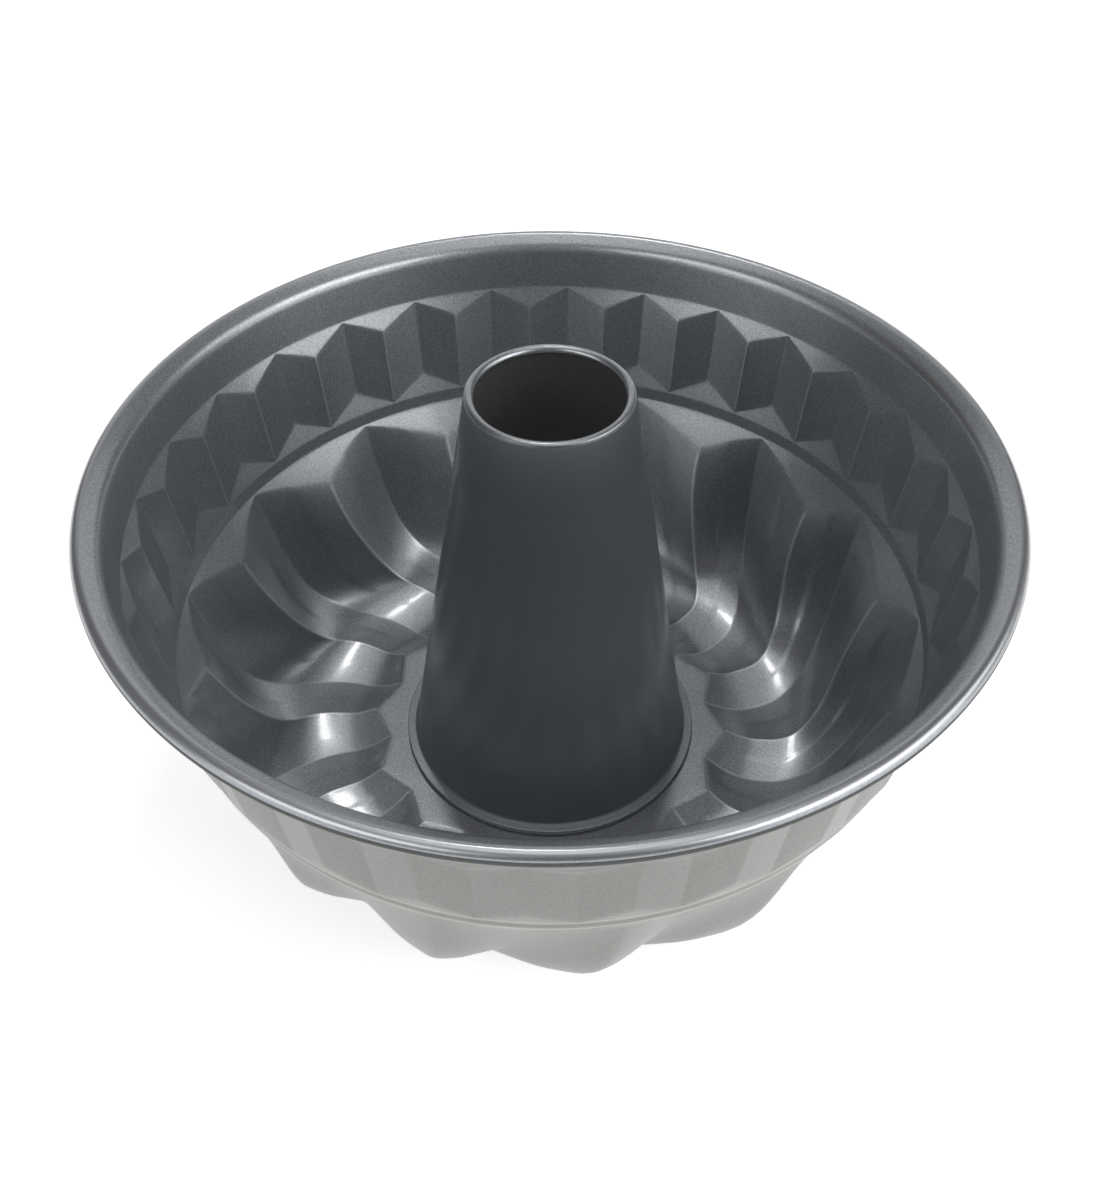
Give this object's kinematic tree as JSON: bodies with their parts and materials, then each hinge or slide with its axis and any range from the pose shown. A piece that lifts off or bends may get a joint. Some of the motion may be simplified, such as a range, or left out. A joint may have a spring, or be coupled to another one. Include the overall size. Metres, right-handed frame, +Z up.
{
  "type": "gugelhupf pan",
  "caption": "Round baking pan with swirled lobes, a ring of small flutes under a rolled rim, and a tapered open centre tube for ring cakes.",
  "frame": {"origin": "on the axis of the tube, in the plane that the lobes stand on", "axes": "+Z up along the axis of the tube, -Y towards the viewer of the picture, +X to the viewer's right"},
  "size_m": [0.23, 0.23, 0.1214],
  "materials": {
    "body_coating": "satin, finely speckled",
    "tube_coating": "satin",
    "wire": "drawn"
  },
  "bodies": {
    "root": {"fluted_body": "body_coating", "centre_tube": "tube_coating", "rim_wire": "wire"}
  },
  "joints": []
}
